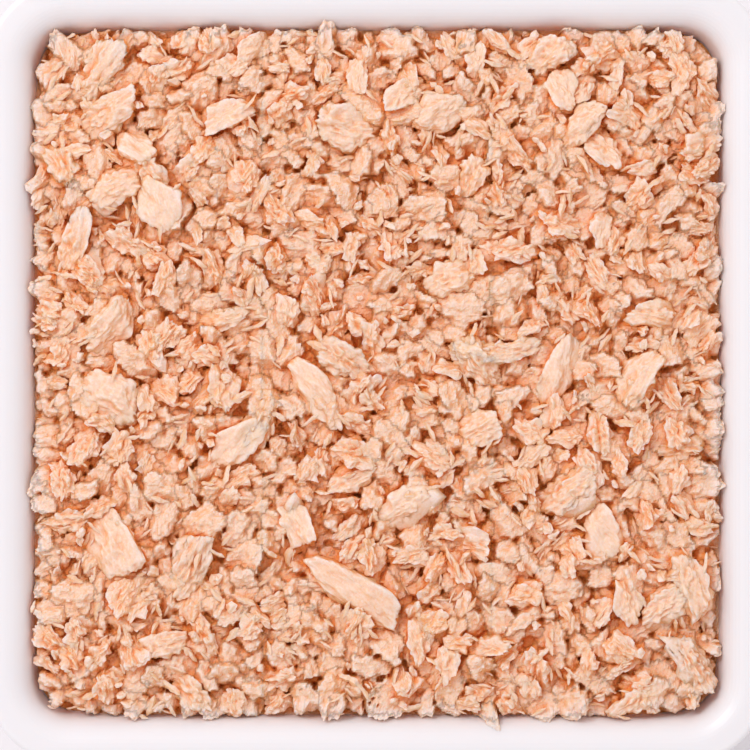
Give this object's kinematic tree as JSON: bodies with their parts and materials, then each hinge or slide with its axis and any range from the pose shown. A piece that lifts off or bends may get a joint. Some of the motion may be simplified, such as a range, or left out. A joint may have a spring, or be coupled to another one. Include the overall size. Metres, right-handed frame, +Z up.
{
  "type": "tray of flaked tuna",
  "caption": "Square white tray with a broad flat rim and round corners, its well filled level with a heap of loose flaked tuna.",
  "frame": {"origin": "middle of the tray's footprint, on the plane of the foot ring that it stands on", "axes": "+Z up out of the well, +X and +Y square to the tray's sides, with +Y towards the far side"},
  "size_m": [0.16, 0.16, 0.0233],
  "materials": {
    "tray_melamine": "smooth moulded melamine, soft gloss",
    "tuna_meat": "moist cooked fish, fibrous and uneven"
  },
  "bodies": {
    "root": {"tray": "tray_melamine", "tuna_heap": "tuna_meat"}
  },
  "joints": []
}
